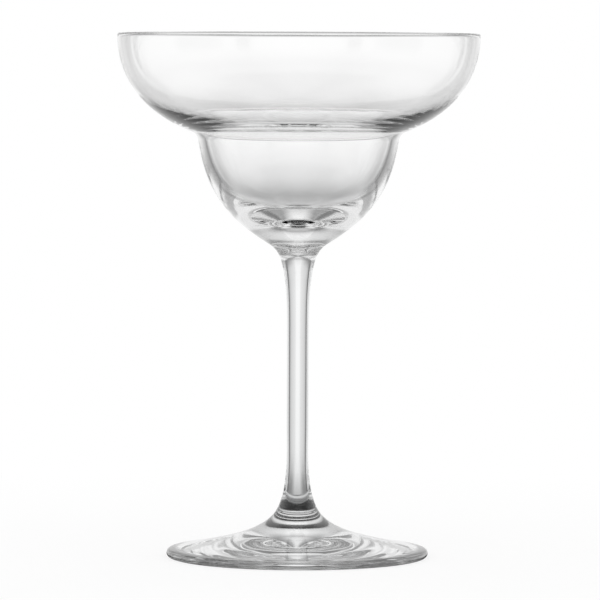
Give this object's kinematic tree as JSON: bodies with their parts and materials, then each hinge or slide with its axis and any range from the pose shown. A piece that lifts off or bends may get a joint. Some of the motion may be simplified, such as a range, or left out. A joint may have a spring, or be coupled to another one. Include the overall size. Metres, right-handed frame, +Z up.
{
  "type": "margarita glass",
  "caption": "Clear stemmed cocktail glass with a wide saucer over a small stepped cup, a slender stem and a round foot.",
  "frame": {"origin": "centre of the foot on the surface that the glass stands on", "axes": "+Z up along the glass's axis of revolution; the glass is round, so +X and +Y are free, and the picture looks along +Y"},
  "size_m": [0.1174, 0.1174, 0.17],
  "materials": {
    "bowl": "clear, fire polished",
    "stem": "clear, fire polished",
    "foot": "clear, fire polished, faintly wavy"
  },
  "bodies": {
    "root": {"bowl": "bowl", "stem": "stem", "foot": "foot"}
  },
  "joints": []
}
